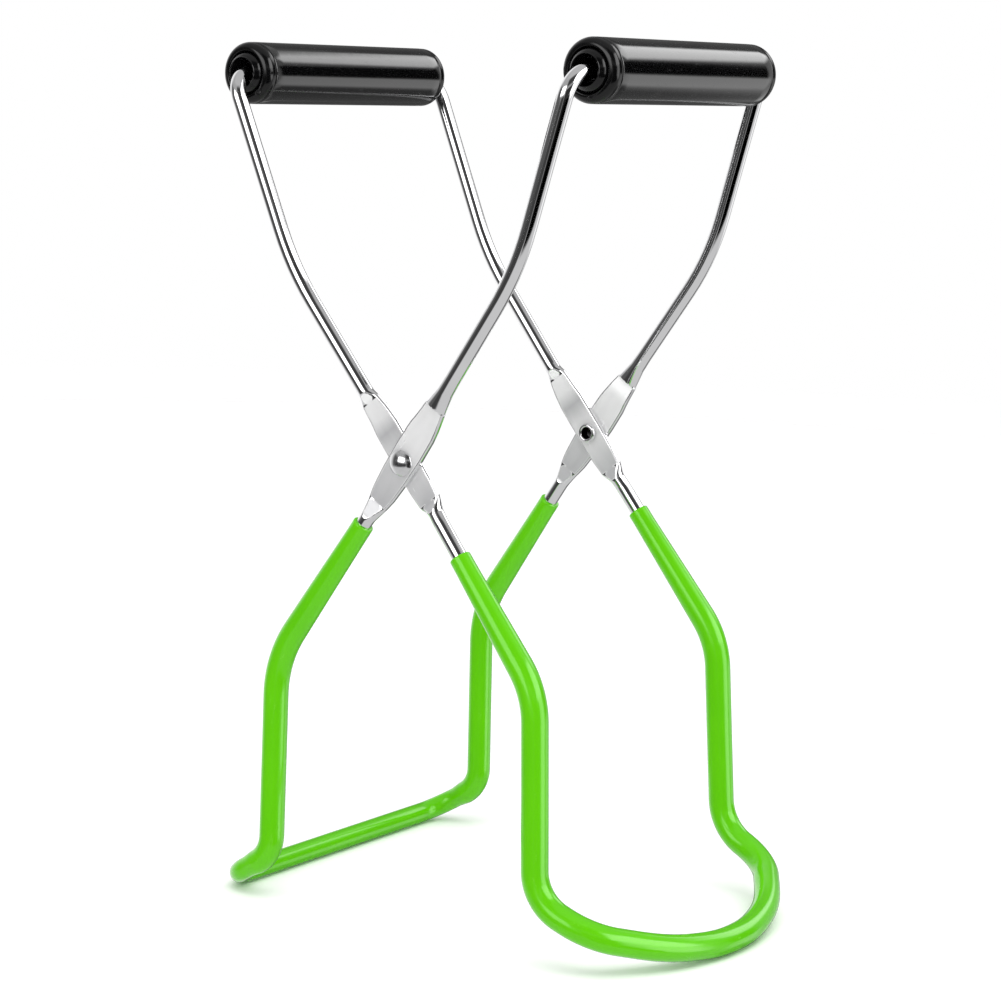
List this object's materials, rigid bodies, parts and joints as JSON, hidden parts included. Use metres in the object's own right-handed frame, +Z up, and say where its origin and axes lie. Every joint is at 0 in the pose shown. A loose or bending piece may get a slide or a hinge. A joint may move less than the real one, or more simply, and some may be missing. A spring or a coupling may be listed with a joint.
{
  "type": "jar lifter",
  "caption": "Scissor jar lifter: crossed bent-wire frames on rivets, with black handle grips, a straight jaw and a curved jaw in green rubber sleeves.",
  "frame": {"origin": "on the surface that the jaws stand on, in the middle of the object's box at rest", "axes": "+Z up; Y along the pivot axis, with the front at -Y; X is the way the tool opens, with the outer frame's handle and the curved jaw at +X"},
  "size_m": [0.1468, 0.0994, 0.2253],
  "materials": {
    "chrome_wire": "bright chrome plating on round wire, satin where it is pressed flat",
    "rivet_steel": "plated steel, satin",
    "green_rubber": "glossy lime green",
    "grip_plastic": "glossy black",
    "cap_plastic": "glossy black, moulded"
  },
  "bodies": {
    "outer_frame": {"outer_frame_wire": "chrome_wire", "outer_jaw_sleeve": "green_rubber", "front_rivet": "rivet_steel", "rear_rivet": "rivet_steel"},
    "inner_frame": {"inner_frame_wire": "chrome_wire", "inner_jaw_sleeve": "green_rubber"},
    "outer_grip": {"outer_grip_tube": "grip_plastic", "outer_grip_cap_front": "cap_plastic", "outer_grip_cap_rear": "cap_plastic"},
    "inner_grip": {"inner_grip_tube": "grip_plastic", "inner_grip_cap_front": "cap_plastic", "inner_grip_cap_rear": "cap_plastic"}
  },
  "joints": [
    {"name": "pivot", "type": "hinge", "parent": "outer_frame", "child": "inner_frame", "pos_m": [-0.00715, 0, 0.11934], "axis": [0, -1, 0], "range_deg": [-40, 76]},
    {"name": "outer_grip_turn", "type": "hinge", "parent": "outer_frame", "child": "outer_grip", "pos_m": [0.03871, 0, 0.21743], "axis": [0, 1, 0], "continuous": true},
    {"name": "inner_grip_turn", "type": "hinge", "parent": "inner_frame", "child": "inner_grip", "pos_m": [-0.06551, 0, 0.21285], "axis": [0, 1, 0], "continuous": true}
  ]
}
